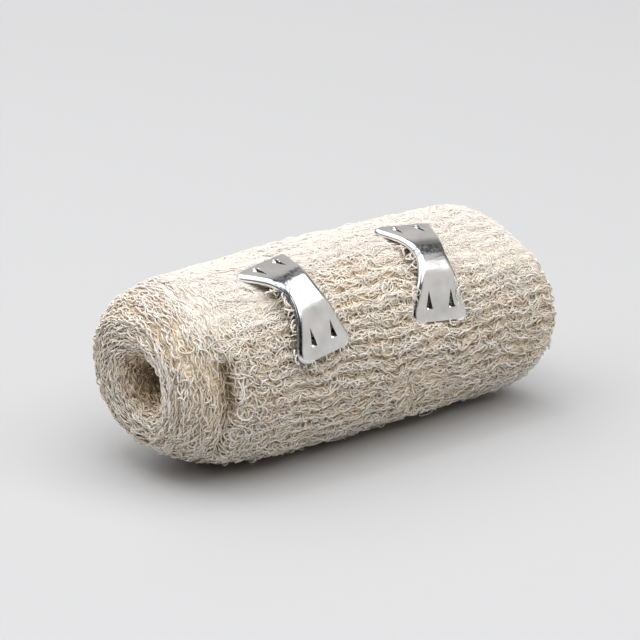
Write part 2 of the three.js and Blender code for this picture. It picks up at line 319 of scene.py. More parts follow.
# crinkle ribs round the side, which wander and fade here and there
crinkles = {
    "count": 44, "height": 0.36, "sharpness": 0.35,
    "wander": [(2.4, 26, 9, 3), (1.1, 60, 30, 4)],  # amount, hills along and around, seed
    "strength": 0.8, "fading": (0.5, 34, 22, 5),
    "calmed": 0.45,  # how much weaker they are on the calm top
    "lumps": [(0.22, 44, 40, 7), (0.13, 110, 100, 8)],
}
# ridges that the turns make on the ends
ridges = {
    "pitch": 2.25, "height": 0.55, "level": 0.6, "wander": (0.12, 40, 12, 6),
    "inner": (4.2, 5.7), "outer": (14.4, 13.2),  # radii between which they come and go
}
# where the top of the roll is calmer, with weaker ribs, flatter threads and painted light, and where painted
# shade dims it: angles up from the front, and places along the axis
calmTop = {
    # place along the axis, and the angle where the calm begins there
    "from": [(-34, 20), (-21, 24), (-12, 42), (-4, 50), (8, 48), (18, 30), (28, 14), (40, 8)],
    "comes": 28, "ends": (150, 110), "near": (-36, -32),
}
# painted shade that dims the top of the roll, where the overhead light falls most
paintedTopShade = {"from": 50, "comes": 26, "ends": (165, 135), "near": (-39, -34)}
# painted light and shade on the cloth: 1 where lit, on crests and the calm top, and 0 where shaded, in
# crevices
paintedShading = {
    "weakRib": 0.3, "strongRib": 1.2, "ends": 0.62, "calm": 1.5,
    "sinkShade": 1.6, "sinkLeast": 0.15,  # pressed down this far under a clip the painted shade is full, leaving the least light
    "cleft": 0.9, "deep": 0.95,
    "nearHole": (6.6, 3.8), "farHole": (6.0, 3.4),  # radii over which painted shade darkens the hollows
}
clothUnderClips = {"spare": 0.12, "hollow": 1.4}


def driftOf(amounts, radius, turn):
    front, top, both = amounts
    share = radius / roll["driftRadius"]
    once = front * np.cos(turn) + top * np.sin(turn)
    return share * once + share**2 * both * np.cos(2 * turn)


# with the slow unevenness of a hand-wound roll
def outerRadius(x, turn):
    share, length, sway = roll["swaying"]
    swaying = share * np.cos(x / length + sway * np.sin(turn))
    uneven = sum(s * np.sin(n * turn + x / long + phase) for s, n, long, phase in roll["swellings"]) + swaying
    wound = ((np.degrees(turn) - roll["tailAngle"]) % 360) / 360
    girth = lookedUp(roll["girth"], x)
    above = np.clip(np.sin(turn), 0, 1)
    below = np.clip(-np.sin(turn + roll["tuckTurned"]), 0, 1)
    girth = girth + roll["topBulge"] * above * rising(x, *roll["bulgeFrom"])
    girth = girth - roll["farTuck"] * below * rising(x, *roll["tuckFrom"])
    return girth + roll["uneven"] * uneven + (wound - 0.5) * roll["tailStep"]


def degreesUp(turn):
    return (np.degrees(turn) + 180) % 360 - 180


# the roll's rows from the near hollow to the far one: place along the axis, radius, share of side and cleft
def rollRows(turn):
    rows = []
    share = lookedUp(roll["opening"], degreesUp(turn))
    setBack = lookedUp(roll["opening"], degreesUp(turn), 2)
    for radius, back, sinks, edge in roll["nearEnd"]:
        sunk = sinks * share
        x = roll["nearCrest"] + back + edge * setBack + roll["sinkSlant"] * sunk
        x = x + driftOf(roll["nearDrift"], radius, turn)
        rows.append((x, radius - sunk, 0, np.clip(sinks / roll["cleftDepth"], 0, 1) * share))
    cornerStart = roll["farCrest"] - roll["farCorner"]
    start = roll["sideStart"]["x"] + driftOf(roll["nearDrift"], roll["sideStart"]["radius"], turn)
    end = cornerStart + driftOf(roll["farDrift"], roll["farRadius"], turn)
    for step in range(roll["sideSteps"] + 1):
        done = step / roll["sideSteps"]
        x = start + (end - start) * done
        side = min(roll["sideFadeIn"]["from"] + roll["sideFadeIn"]["slope"] * done, 1)
        rows.append((x, outerRadius(x, turn), side, 0))
    full = outerRadius(cornerStart, turn)
    for step in range(1, roll["cornerSteps"] + 1):
        bend = step / roll["cornerSteps"] * pi / 2
        radius = full - roll["farCorner"] + roll["farCorner"] * np.cos(bend)
        x = cornerStart + roll["farCorner"] * np.sin(bend) + driftOf(roll["farDrift"], radius, turn)
        rows.append((x, radius, np.cos(bend), 0))
    for radius, back in roll["farEnd"]:
        rows.append((roll["farCrest"] - back + driftOf(roll["farDrift"], radius, turn), radius, 0, 0))
    x, r, side, cleft = (np.array([row[k] + 0 * turn for row in rows]) for k in range(4))
    return x, r, side[:, 0], cleft


# turns rows and angles into points, with the near end lifted and its hollow off the axis
def placed(x, r, turn):
    hollow = roll["hollow"]
    lift = roll["rise"] * rising(x, roll["riseFrom"], roll["riseTo"])
    off = (x < 0) * eased(rising(r, hollow["none"], hollow["full"]))
    y = -r * np.cos(turn) - hollow["front"] * off
    return np.stack([x, y, r * np.sin(turn) + lift + hollow["up"] * off], -1)


def gridNormals(points):
    alongRows = np.gradient(points, axis=0)
    aroundTurns = np.roll(points, -1, 1) - np.roll(points, 1, 1)
    return unit(np.cross(alongRows, aroundTurns))


def evened(table, even, reach):
    return np.array([np.interp(even, reach, table[:, k]) for k in range(table.shape[1])]).T


# the rows at even steps along the profile, with the kinks between the profile's points rounded
def evenRows(turn):
    x, r, side, cleft = rollRows(turn)
    step = np.hypot(np.diff(x, axis=0), np.diff(r, axis=0)).mean(1)
    reach = np.concatenate([[0], np.cumsum(step)])
    even = np.linspace(0, reach[-1], roll["rows"])
    x, r, cleft = (evened(table, even, reach) for table in (x, r, cleft))
    side = np.interp(even, reach, side)[:, None]
    for table in (x, x, r, r):
        table[1:-1] = 0.25 * table[:-2] + 0.5 * table[1:-1] + 0.25 * table[2:]
    r[0] = r[-1] = 0
    return x, r, side, cleft


# 1 on the roll's top and 0 elsewhere, from the angles and places that a dictionary gives
def topShare(kind, x, degrees, start):
    fromFront = rising(degrees, start, start + kind["comes"])
    return fromFront * rising(degrees, *kind["ends"]) * rising(x, *kind["near"])


def rollSurface():
    turn = np.arange(roll["columns"]) / roll["columns"] * 2 * pi
    x, r, side, cleft = evenRows(turn)
    smooth = placed(x, r, turn)
    normal = gridNormals(smooth)
    u = np.linspace(0, 1, roll["rows"])[:, None] + 0 * turn
    v = turn / (2 * pi) + 0 * u
    calm = topShare(calmTop, x, degreesUp(turn), lookedUp(calmTop["from"], x))
    # painted shade on the top
    top = topShare(paintedTopShade, x, degreesUp(turn), paintedTopShade["from"])
    wander = sum(hilly(u, v, kind) for kind in crinkles["wander"])
    strength = (crinkles["strength"] + hilly(u, v, crinkles["fading"])) * (1 - crinkles["calmed"] * calm)
    rib = np.sin(crinkles["count"] * turn + wander)
    ribs = side * strength * crinkles["height"] * (rib - crinkles["sharpness"] * rib**2)
    wound = (r / ridges["pitch"] - turn / (2 * pi) + hilly(u, v, ridges["wander"])) % 1
    crown = np.sqrt(np.sin(pi * wound))
    onEnd = (1 - side) * rising(r, *ridges["inner"]) * rising(r, *ridges["outer"])
    endRidges = onEnd * ridges["height"] * (crown - ridges["level"])
    lumps = sum(hilly(u, v, kind) for kind in crinkles["lumps"])
    closing = rising(r, 0, roll["closing"])
    lift = ribs + endRidges + (lumps - roll["under"]) * closing
    points = smooth + normal * lift[..., None]
    sink, towards = sinkUnderClips(points, **clothUnderClips)
    points = points - towards * sink[..., None]
    points[..., 2] = np.maximum(points[..., 2], -axisPoint[2])
    # painted light on rib crests and end ridges, painted shade in crevices, under the clips and in the cleft,
    # lifted on the calm top
    ribHeight = np.clip(strength, paintedShading["weakRib"], paintedShading["strongRib"])
    crest = np.clip(0.5 + 0.5 * rib * ribHeight, 0, 1) * side + (1 - side) * paintedShading["ends"] * crown
    pressed = np.maximum(rising(sink, paintedShading["sinkShade"], 0), paintedShading["sinkLeast"])
    crest = np.maximum(crest, paintedShading["calm"] * calm) * pressed * (1 - paintedShading["cleft"] * cleft)
    # painted shade deepening into the hollows at both ends
    deep = rising(r, *paintedShading["nearHole"]) * (x < 0) + rising(r, *paintedShading["farHole"]) * (x > 0)
    return {
        "points": points, "normal": normal, "x": x, "r": r, "side": side, "degrees": degreesUp(turn) + 0 * r,
        "crest": crest * (1 - paintedShading["deep"] * deep), "wander": wander, "cleft": cleft, "deep": deep,
        "calm": calm, "top": top,
    }


field = rollSurface()
surface, surfaceNormal = field["points"], field["normal"]
print("roll surface", surface.shape)


def newMaterial(name):
    material = bpy.data.materials.new(name)
    material.use_nodes = True
    tree = material.node_tree
    return material, tree, tree.nodes["Principled BSDF"]


# sets a node's inputs and its other settings by their names
def adjust(node, values):
    for key, value in values.items():
        if key in node.inputs:
            node.inputs[key].default_value = value
        else:
            setattr(node, key, value)


def addNode(tree, kind, **values):
    node = tree.nodes.new(kind)
    adjust(node, values)
    return node


# a math node whose terms are other nodes' outputs or plain numbers
def calculate(tree, operation, *terms):
    node = addNode(tree, "ShaderNodeMath", operation=operation)
    for socket, term in zip(node.inputs, terms):
        if isinstance(term, (int, float)):
            socket.default_value = term
        else:
            tree.links.new(term, socket)
    return node.outputs[0]


def noiseAt(tree, place, values):
    node = addNode(tree, "ShaderNodeTexNoise", **values)
    tree.links.new(place, node.inputs["Vector"])
    return node.outputs["Fac"]


def scaledPlace(tree, place, scale):
    node = addNode(tree, "ShaderNodeMapping", Scale=scale)
    tree.links.new(place, node.inputs["Vector"])
    return node.outputs["Vector"]


def pointValue(tree, name):
    return addNode(tree, "ShaderNodeAttribute", attribute_name=name).outputs["Fac"]


def objectPlace(tree):
    return tree.nodes.new("ShaderNodeTexCoord").outputs["Object"]


def ranged(tree, value, old, new=(0.0, 1.0), smooth=False):
    node = addNode(tree, "ShaderNodeMapRange", interpolation_type="SMOOTHSTEP" if smooth else "LINEAR")
    tree.links.new(value, node.inputs["Value"])
    for socket, number in zip(("From Min", "From Max", "To Min", "To Max"), (*old, *new)):
        node.inputs[socket].default_value = number
    return node.outputs["Result"]


def ramp(tree, value, stops):
    node = tree.nodes.new("ShaderNodeValToRGB")
    while len(node.color_ramp.elements) < len(stops):
        node.color_ramp.elements.new(0.5)
    for element, (place, color) in zip(node.color_ramp.elements, stops):
        element.position = place
        element.color = (*color, 1)
    tree.links.new(value, node.inputs["Fac"])
    return node.outputs["Color"]


def blended(tree, factor, first, second, way="MIX"):
    node = addNode(tree, "ShaderNodeMix", data_type="RGBA", blend_type=way)
    tree.links.new(factor, node.inputs["Factor"])
    tree.links.new(first, node.inputs[6])
    node.inputs[7].default_value = (*second, 1)
    return node.outputs[2]


def bumped(tree, shader, height, bump):
    node = addNode(tree, "ShaderNodeBump", **bump)
    tree.links.new(height, node.inputs["Height"])
    tree.links.new(node.outputs["Normal"], shader.inputs["Normal"])


# light soaks in as far for each colour, so that no shade is tinted
soaking = {"Subsurface Radius": (1.0, 1.0, 1.0), "Subsurface Scale": 0.0005}


# what both cottons share: a colour by tone, with painted shade on top, and bumps
def addCotton(tree, shader, tone, height, look):
    color = ramp(tree, tone, look["stops"])
    # painted shade multiplied in along the top
    color = blended(tree, pointValue(tree, "top"), color, look["topShade"], "MULTIPLY")
    tree.links.new(color, shader.inputs["Base Color"])
    bumped(tree, shader, height, look["bump"])
    adjust(shader, look["shader"])


threadLook = {
    "stops": [
        (0.0, (0.58, 0.45, 0.29)),
        (0.25, (0.815, 0.685, 0.525)),
        (0.5, (0.87, 0.77, 0.64)),
        (0.8, (0.885, 0.815, 0.73)),
        (1.0, (0.885, 0.835, 0.77)),
    ],
    "topShade": (0.83, 0.815, 0.835),  # painted shade: multiplies the colour along the top
    "patches": {"Scale": 240.0, "Detail": 3.0},
    "patchy": 0.22,  # how much the slow patches change the tone
    "fibres": {"Scale": 5200.0, "Detail": 2.0},
    "bump": {"Strength": 0.35, "Distance": 0.00004},
    "shader": {
        "Roughness": 0.85, "Specular IOR Level": 0.2, "Sheen Weight": 0.2,
        "Subsurface Weight": 0.4, **soaking,
    },
}


def cottonThread():
    material, tree, shader = newMaterial("cottonThread")
    place = objectPlace(tree)
    patches = calculate(tree, "SUBTRACT", noiseAt(tree, place, threadLook["patches"]), 0.5)
    tone = calculate(tree, "MULTIPLY_ADD", patches, threadLook["patchy"], pointValue(tree, "tone"))
    addCotton(tree, shader, tone, noiseAt(tree, place, threadLook["fibres"]), threadLook)
    return material


clothLook = {
    "stops": [
        (0.0, (0.34, 0.25, 0.145)),
        (0.3, (0.69, 0.555, 0.40)),
        (0.6, (0.82, 0.70, 0.555)),
        (0.85, (0.875, 0.80, 0.71)),
    ],
    # painted shade multiplied in along the top
    "topShade": (0.857, 0.85, 0.885),
    # threads drawn out along the roll, and curls that lie any way: stretch and how many to a fold
    "drawn": {"scale": (110.0, 400.0, 400.0), "bands": 13.0},
    "curls": {"scale": (430.0, 520.0, 520.0), "bands": 8.0},
    "winding": {"Scale": 1.0, "Detail": 0.6},
    "specks": {"Scale": 1900.0, "Detail": 3.0},
    "threadHeight": 0.2,  # how far the drawn threads stand out against the specks
    # how much the painted light on crests and painted shade in crevices, hollows, the cleft and under the
    # clips counts in the tone
    "crestTone": 0.45, "toneDrop": 0.3,
    "bump": {"Strength": 1.0, "Distance": 0.00025},
    "shader": {"Roughness": 0.95, "Specular IOR Level": 0.15, "Subsurface Weight": 0.5, **soaking},
}


# winding lines, like threads that lie side by side
def windingLines(tree, place, kind):
    place = scaledPlace(tree, place, kind["scale"])
    folds = noiseAt(tree, place, clothLook["winding"])
    phase = calculate(tree, "MULTIPLY", folds, 2 * pi * kind["bands"])
    return calculate(tree, "SINE", phase)


def cottonCloth():
    material, tree, shader = newMaterial("cottonCloth")
    place = objectPlace(tree)
    specks = noiseAt(tree, place, clothLook["specks"])
    drawn = windingLines(tree, place, clothLook["drawn"])
    curls = windingLines(tree, place, clothLook["curls"])
    lines = calculate(tree, "MAXIMUM", drawn, curls)
    height = calculate(tree, "MULTIPLY_ADD", lines, clothLook["threadHeight"], specks)
    lower = calculate(tree, "SUBTRACT", height, clothLook["toneDrop"])
    # painted light on the rib crests and painted shade in the crevices, hollows, cleft and under the clips
    crest = pointValue(tree, "crest")
    tone = calculate(tree, "MULTIPLY_ADD", crest, clothLook["crestTone"], lower)
    addCotton(tree, shader, tone, height, clothLook)
    return material


metalLook = {
    "stops": [(0.3, (0.645, 0.65, 0.66)), (0.7, (0.855, 0.855, 0.86))],
    "smudges": {"Scale": 230.0, "Detail": 3.0},
    "grain": (1.0, 7.0, 7.0),  # the brushing runs along the roll
    "brushed": {"Scale": 420.0, "Detail": 5.0, "Roughness": 0.65},
    "scratches": {"Scale": 1500.0, "Detail": 2.0, "Distortion": 0.3},
    "bump": {"Strength": 0.12, "Distance": 0.00005},
    "brushing": (0.3, 0.7), "roughness": (0.1, 0.26),  # where the brushing is this strong, and how rough
    # dark blue: a painted dark reflection on the left rim, and on the bend partly real scuffing and partly
    # painted dark reflection
    "wearAndDarkReflection": (0.16, 0.18, 0.22),
    "pits": {"Scale": 1700.0, "Detail": 4.0, "Roughness": 0.7},
    "pitted": 1.1,  # how much the pits break up the scuffs and the painted dark reflection
    "wearAndReflectionFrom": (0.85, 1.2),
}


def clipMetal():
    material, tree, shader = newMaterial("clipMetal")
    place = objectPlace(tree)
    alongGrain = scaledPlace(tree, place, metalLook["grain"])
    pits = noiseAt(tree, place, metalLook["pits"])
    # where the scuffs and the painted dark reflection lie, broken up by pits
    sunk = calculate(tree, "MULTIPLY_ADD", pits, metalLook["pitted"], pointValue(tree, "wearAndDarkReflection"))
    wearAndReflection = ranged(tree, sunk, metalLook["wearAndReflectionFrom"], smooth=True)
    smudges = noiseAt(tree, place, metalLook["smudges"])
    color = ramp(tree, smudges, metalLook["stops"])
    tree.links.new(blended(tree, wearAndReflection, color, metalLook["wearAndDarkReflection"]), shader.inputs["Base Color"])
    brushed = noiseAt(tree, alongGrain, metalLook["brushed"])
    rough = ranged(tree, brushed, metalLook["brushing"], metalLook["roughness"])
    tree.links.new(rough, shader.inputs["Roughness"])
    bumped(tree, shader, noiseAt(tree, alongGrain, metalLook["scratches"]), metalLook["bump"])
    adjust(shader, {"Metallic": 1.0})
    return material


threadMaterial, clothMaterial, metalMaterial = cottonThread(), cottonCloth(), clipMetal()


def makeCloth():
    obj, u, v = addGrid("rollCloth", roll["rows"] - 1, roll["columns"])
    row = np.round(u * (roll["rows"] - 1)).astype(int)
    col = np.round(v * roll["columns"]).astype(int) % roll["columns"]
    movePoints(obj, (surface[row, col] + axisPoint) * mm)
    # painted light and shade by crest, and painted shade on top, for the cloth's material
    addPointValues(obj.data, "crest", field["crest"][row, col])
    addPointValues(obj.data, "top", field["top"][row, col])
    cleanUp(obj, 2e-6)
    obj.data.materials.append(clothMaterial)
    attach(obj, "root")
    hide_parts("roll")
    print("wound cloth", len(obj.data.polygons))


makeCloth()

# the threads that stand out of the cloth
threads = {
    "thin": 0.135, "thick": 0.18,  # radius
    "tip": 0.45,  # how thin their ends are
    "perPiece": 180000,  # triangles
    "tone": 0.26, "mixed": 0.12,  # mean tone, and how much the threads differ
    "lighten": 0.45,  # painted light: tone gained for each millimetre above the cloth, so the parts near it are shaded
    "lightenFrom": (-0.3, 0.9),
    "onCrest": 0.28, "inShade": -0.6, "onCalm": 0.1,  # painted light and shade from the place under them: lighter on crests and the calm top, darker in the hollows and the cleft
    # how much painted shade the threads in the cleft get
    "cleftShade": 0.8,
    "calmer": 0.74,  # how much flatter they lie on top of the roll
    "clear": 0.04,  # between them and a clip
    "mostSink": 2.2,  # a thread that a clip would press down further is left out
    "leastDown": 0.15, "leastSideways": 0.03,  # steps of the grid, where it closes on the axis
}
lastRow = roll["rows"] - 1.001

rowStep = np.linalg.norm(np.diff(surface, axis=0), axis=-1)
rowStep = np.concatenate([rowStep, rowStep[-1:]])
colStep = np.linalg.norm(np.roll(surface, -1, 1) - surface, axis=-1)
cellArea = rowStep * colStep
# painted shade for threads in the end hollows and the cleft
dark = np.maximum(field["deep"], threads["cleftShade"] * field["cleft"])
underThreads = np.stack([field["crest"], dark, field["calm"], field["top"]], -1)


# a table of the surface at a fractional row and column
def sample(table, row, col):
    row = np.clip(row, 0, lastRow)
    i, j = np.floor(row).astype(int), np.floor(col).astype(int)
    return between(table, i, j, (row - i)[..., None], (col - j)[..., None])


# random starting places, weighted by area and by a share for each cell
def scatter(count, share):
    chance = (cellArea * share).ravel()
    pick = dice.choice(chance.size, count, p=chance / chance.sum())
    row, col = np.divmod(pick, roll["columns"])
    return row + dice.random(count), col + dice.random(count)


# lays curves on the roll: along its length, around it, and height over the cloth, in millimetres
def layOnRoll(row, col, along, around, height):
    i, j = row.astype(int), col.astype(int)
    down = np.maximum(rowStep[i, j], threads["leastDown"])[:, None]
    sideways = np.maximum(colStep[i, j], threads["leastSideways"])[:, None]
    rows = np.clip(row[:, None] + along / down, 0, lastRow)
    cols = col[:, None] + around / sideways
    # keeps with its rib where the ribs wander
    here = field["wander"][i, j][:, None] - field["wander"][rows.astype(int), (j % roll["columns"])[:, None]]
    cols = cols + here * field["side"][i, 0][:, None] / crinkles["count"] * roll["columns"] / (2 * pi)
    height = height * (1 - threads["calmer"] * field["calm"][i, j % roll["columns"]][:, None])
    points = sample(surface, rows, cols) + sample(surfaceNormal, rows, cols) * height[..., None]
    return points, sample(underThreads, rows, cols)


# presses threads down under the clips and off the table, and tells which are kept
def settle(points, radius):
    sink, towards = sinkUnderClips(points, threads["clear"] + radius)
    keep = sink.max(1) < threads["mostSink"]
    points = points - towards * sink[..., None]
    points[..., 2] = np.maximum(points[..., 2], radius - axisPoint[2])
    return points, keep


# three-sided tubes in one mesh, each closed by a triangle at both ends
def threadMesh(name, points, radius, tone, top):
    count, rings = points.shape[:2]
    tangent = unit(np.gradient(points, axis=1))
    side = unit(np.cross(tangent, points * [0, 1, 1] + [1e-3, 0, 0]))
    up = np.cross(side, tangent)
    taper = np.ones(rings)
    taper[0] = taper[-1] = threads["tip"]
    size = (radius[:, None] * taper)[..., None]
    ring = []
    for corner in range(3):
        angle = 2 * pi * corner / 3 + pi / 2
        ring.append(points + size * (np.cos(angle) * side + np.sin(angle) * up))
    verts = np.stack(ring, 2).reshape(-1, 3)
    corners = np.arange(len(verts)).reshape(count, rings, 3)
    after = np.roll(corners, -1, 2)
    quads = np.stack([corners[:, :-1], after[:, :-1], after[:, 1:], corners[:, 1:]], -1).reshape(-1, 4)
    caps = np.concatenate([corners[:, 0, ::-1], corners[:, -1]])
    mesh = bpy.data.meshes.new(name)
    mesh.vertices.add(len(verts))
    mesh.vertices.foreach_set("co", ((verts + axisPoint) * mm).astype(np.float32).ravel())
    order = np.concatenate([quads.ravel(), caps.ravel()])
    mesh.loops.add(order.size)
    mesh.loops.foreach_set("vertex_index", order.astype(np.int32))
    starts = np.concatenate([np.arange(len(quads)) * 4, len(quads) * 4 + np.arange(len(caps)) * 3])
    mesh.polygons.add(starts.size)
    mesh.polygons.foreach_set("loop_start", starts.astype(np.int32))
    mesh.update(calc_edges=True)
    addPointValues(mesh, "tone", np.repeat(tone.ravel(), 3))
    addPointValues(mesh, "top", np.repeat(top.ravel(), 3))
    mesh.polygons.foreach_set("use_smooth", np.ones(starts.size, dtype=bool))
    mesh.validate()
    obj = bpy.data.objects.new(name, mesh)
    bpy.context.scene.collection.objects.link(obj)
    obj.data.materials.append(threadMaterial)
    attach(obj, "root")
    print(name, count, "threads", count * trianglesOf(rings), "triangles")


def trianglesOf(rings):
    return (rings - 1) * 6 + 2


def layThreads(name, row, col, along, around, height):
    points, under = layOnRoll(row, col, along, around, height)
    radius = dice.uniform(threads["thin"], threads["thick"], len(row))
    points, keep = settle(points, radius.max())
    tone = dice.normal(threads["tone"], threads["mixed"], (len(row), 1))
    # painted light as the threads rise off the cloth and on crests and the calm top, painted shade in the
    # hollows and the cleft
    tone = tone + threads["lighten"] * np.clip(height, *threads["lightenFrom"])
    tone = tone + threads["onCrest"] * np.minimum(under[..., 0], 1)
    tone = tone + threads["inShade"] * under[..., 1] + threads["onCalm"] * under[..., 2]
    points, radius, tone, top = points[keep], radius[keep], np.clip(tone[keep], 0, 1), under[keep][..., 3]
    most = threads["perPiece"] // trianglesOf(points.shape[1])
    for part, start in enumerate(range(0, len(points), most)):
        some = slice(start, start + most)
        threadMesh(f"{name}{part + 1}", points[some], radius[some], tone[some], top[some])


# runs from 0 to 1 along each thread, once for each of its rings
def runOf(kind):
    return np.linspace(0, 1, kind["rings"])[None, :]


# how high the threads arch over the cloth, from its root and back
def arched(kind, t):
    return kind["root"] + np.sin(pi * t) ** kind["arch"] * spread(*kind["height"], kind["count"])


def turned(a, b, heading):
    return a * np.cos(heading) - b * np.sin(heading), a * np.sin(heading) + b * np.cos(heading)


# how much of each kind lies where: on the side, on the ends, and seldom where the roll stands
laid = {"side": 1.5, "ends": 1.2, "under": (-125, -55), "seldom": 0.4}
degrees = field["degrees"]
onSide = np.clip(field["side"] * laid["side"], 0, 1) + 0 * degrees
onEnds = 1 - np.clip(field["side"] * laid["ends"], 0, 1) + 0 * degrees
seldomBelow = np.where((degrees > laid["under"][0]) & (degrees < laid["under"][1]), laid["seldom"], 1)

weft = {
    "count": 4300, "rings": 14, "length": (3.2, 8.0), "wave": (0.12, 0.45), "pitch": (2.2, 4.4),
    "height": (0.15, 0.6), "root": -0.1, "arch": 0.6, "slant": 0.09,
    "jog": 0.3, "jogPitch": 1.3,  # each wave along the roll, as a share of the wave around it
    "ripple": 0.12,
    "inGrooves": 0.15, "toCrests": 1.5,  # few lie in the grooves between the ribs
}


# crinkled threads that run along the ribs
def layWeft():
    n = weft["count"]
    share = weft["inGrooves"] + np.minimum(field["crest"], 1) ** weft["toCrests"]
    row, col = scatter(n, onSide * seldomBelow * share)
    t = runOf(weft)
    length = spread(*weft["length"], n)
    phase, other = spread(0, 2 * pi, n), spread(0, 2 * pi, n)
    waves = length / spread(*weft["pitch"], n)
    wave = spread(*weft["wave"], n)
    slant = dice.normal(0, weft["slant"], (n, 1))
    along = (t - 0.5) * length + weft["jog"] * wave * np.sin(2 * pi * waves * weft["jogPitch"] * t + other)
    around = wave * np.sin(2 * pi * waves * t + phase) + slant * (t - 0.5) * length
    height = arched(weft, t) + weft["ripple"] * np.sin(2 * pi * waves * t + other)
    layThreads("weftThreads", row, col, along, around, height)


layWeft()

# loops that the crinkled cloth throws up
loops = {
    "count": 3250, "rings": 12, "size": (0.4, 1.0), "turns": (0.55, 1.2), "height": (0.25, 0.95),
    "wide": 0.1, "wider": 1.6,  # the share of wide ones, and how much wider they are
    "everywhere": 0.45, "byTail": 1.3, "byEdge": 1.1, "onEnds": 0.16,  # how many lie where
    # by the tail: angle up from the front and its reach, and places; by the edge the other way round
    "tail": (30, 26), "tailFrom": -30, "tailTo": 34,
    "edge": (-27, 6), "edgeFrom": -70, "edgeTo": 75,
    "outerPart": 9,  # they lie outside this radius on the ends
}
lipLoops = {
    "count": 130, "rings": 16, "size": (0.8, 1.4), "turns": (0.6, 1.0), "height": (0.4, 1.0),
    "wide": 0, "wider": 1.0,
    "lip": (-29.5, 2.0), "lipRadius": 14.5,
    "above": (27, 8), "below": 0.35, "belowFrom": -60, "belowTo": 18,
}
curls = {
    "heading": 0.9, "squash": (0.55, 1.0), "drift": (0.4, 2.2), "tilt": (-0.3, 0.3),
    "root": -0.12, "arch": 0.7,
}


def layCurls(name, kind, row, col):
    n = kind["count"]
    t = runOf(kind)
    size = spread(*kind["size"], n) * np.where(dice.random((n, 1)) < kind["wide"], kind["wider"], 1.0)
    bend = 2 * pi * spread(*kind["turns"], n) * dice.choice([-1, 1], (n, 1))
    start, heading = spread(0, 2 * pi, n), dice.normal(0, curls["heading"], (n, 1))
    squash, drift = spread(*curls["squash"], n), spread(*curls["drift"], n)
    a = size * np.cos(start + bend * t) + drift * (t - 0.5)
    b = squash * size * np.sin(start + bend * t)
    along, around = turned(a, b, heading)
    tilt = spread(*curls["tilt"], n)
    layThreads(name, row, col, along, around, arched({**kind, **curls}, t) + tilt * b)


# thickest by the cut end and at the near edge
def layLoops():
    x = field["x"]
    byTail = close(degrees, *loops["tail"]) * (x > loops["tailFrom"]) * (x < loops["tailTo"])
    byEdge = close(x, *loops["edge"]) * (degrees > loops["edgeFrom"]) * (degrees < loops["edgeTo"])
    outerPart = onEnds * (field["r"] > loops["outerPart"]) * (1 - field["cleft"])
    share = loops["everywhere"] + loops["byTail"] * byTail + loops["byEdge"] * byEdge
    share = onSide * share + loops["onEnds"] * outerPart
    row, col = scatter(loops["count"], share * seldomBelow * (1 - field["cleft"]) ** 2)
    layCurls("loopThreads", loops, row, col)


# wide loops where the outer turn stands off, most of all above the cleft
def layLipLoops():
    by = close(field["x"], *lipLoops["lip"]) * (field["r"] > lipLoops["lipRadius"])
    below = lipLoops["below"] * (degrees < lipLoops["belowTo"]) * (degrees > lipLoops["belowFrom"])
    row, col = scatter(lipLoops["count"], by * (close(degrees, *lipLoops["above"]) + below))
    layCurls("lipThreads", lipLoops, row, col)


layLoops()
layLipLoops()

hooks = {
    "count": 1700, "rings": 7, "length": (1.3, 3.0), "bow": (0.25, 0.9), "height": (0.25, 0.9),
    "heading": 0.7, "root": -0.12, "arch": 0.8,
}


# short bowed threads in between, which lie any way
def layHooks():
    n = hooks["count"]
    row, col = scatter(n, onSide * seldomBelow)
    t = runOf(hooks)
    length, heading = spread(*hooks["length"], n), dice.normal(0, hooks["heading"], (n, 1))
    bow = spread(*hooks["bow"], n) * dice.choice([-1, 1], (n, 1))
    along, around = turned((t - 0.5) * length, bow * np.sin(pi * t), heading)
    layThreads("hookThreads", row, col, along, around, arched(hooks, t))


layHooks()

edges = {
    "count": 4600, "rings": 8, "length": (1.8, 4.2), "wave": (0.08, 0.34), "height": (0.25, 0.85),
    "pitch": 2.6, "slant": (0.12, 0.13), "root": -0.1, "arch": 0.7,
    "most": 1.3, "thinning": 18, "share": (0.4, 1.2),  # fewer of them further out
    "bare": 1.5,  # none within this radius
    "inCleft": 0.7,  # how many are missing in the cleft
    "shorterIn": 6, "shorter": (0.35, 1),  # the radius inside which they are shorter
}


# the threads of the cloth's edges, which run round the ends
def layEdges():
    n = edges["count"]
    r = field["r"]
    inner = np.clip(edges["most"] - r / edges["thinning"], *edges["share"])
    row, col = scatter(n, onEnds * inner * (r > edges["bare"]) * (1 - edges["inCleft"] * field["cleft"]))
    t = runOf(edges)
    radius = r[row.astype(int), col.astype(int) % roll["columns"]][:, None]
    length = spread(*edges["length"], n) * np.clip(radius / edges["shorterIn"], *edges["shorter"])
    phase = spread(0, 2 * pi, n)
    wave = spread(*edges["wave"], n)
    around = (t - 0.5) * length
    slant = dice.normal(*edges["slant"], (n, 1))
    along = wave * np.sin(2 * pi * t * length / edges["pitch"] + phase) + slant * around
    layThreads("edgeThreads", row, col, along, around, arched(edges, t))


layEdges()

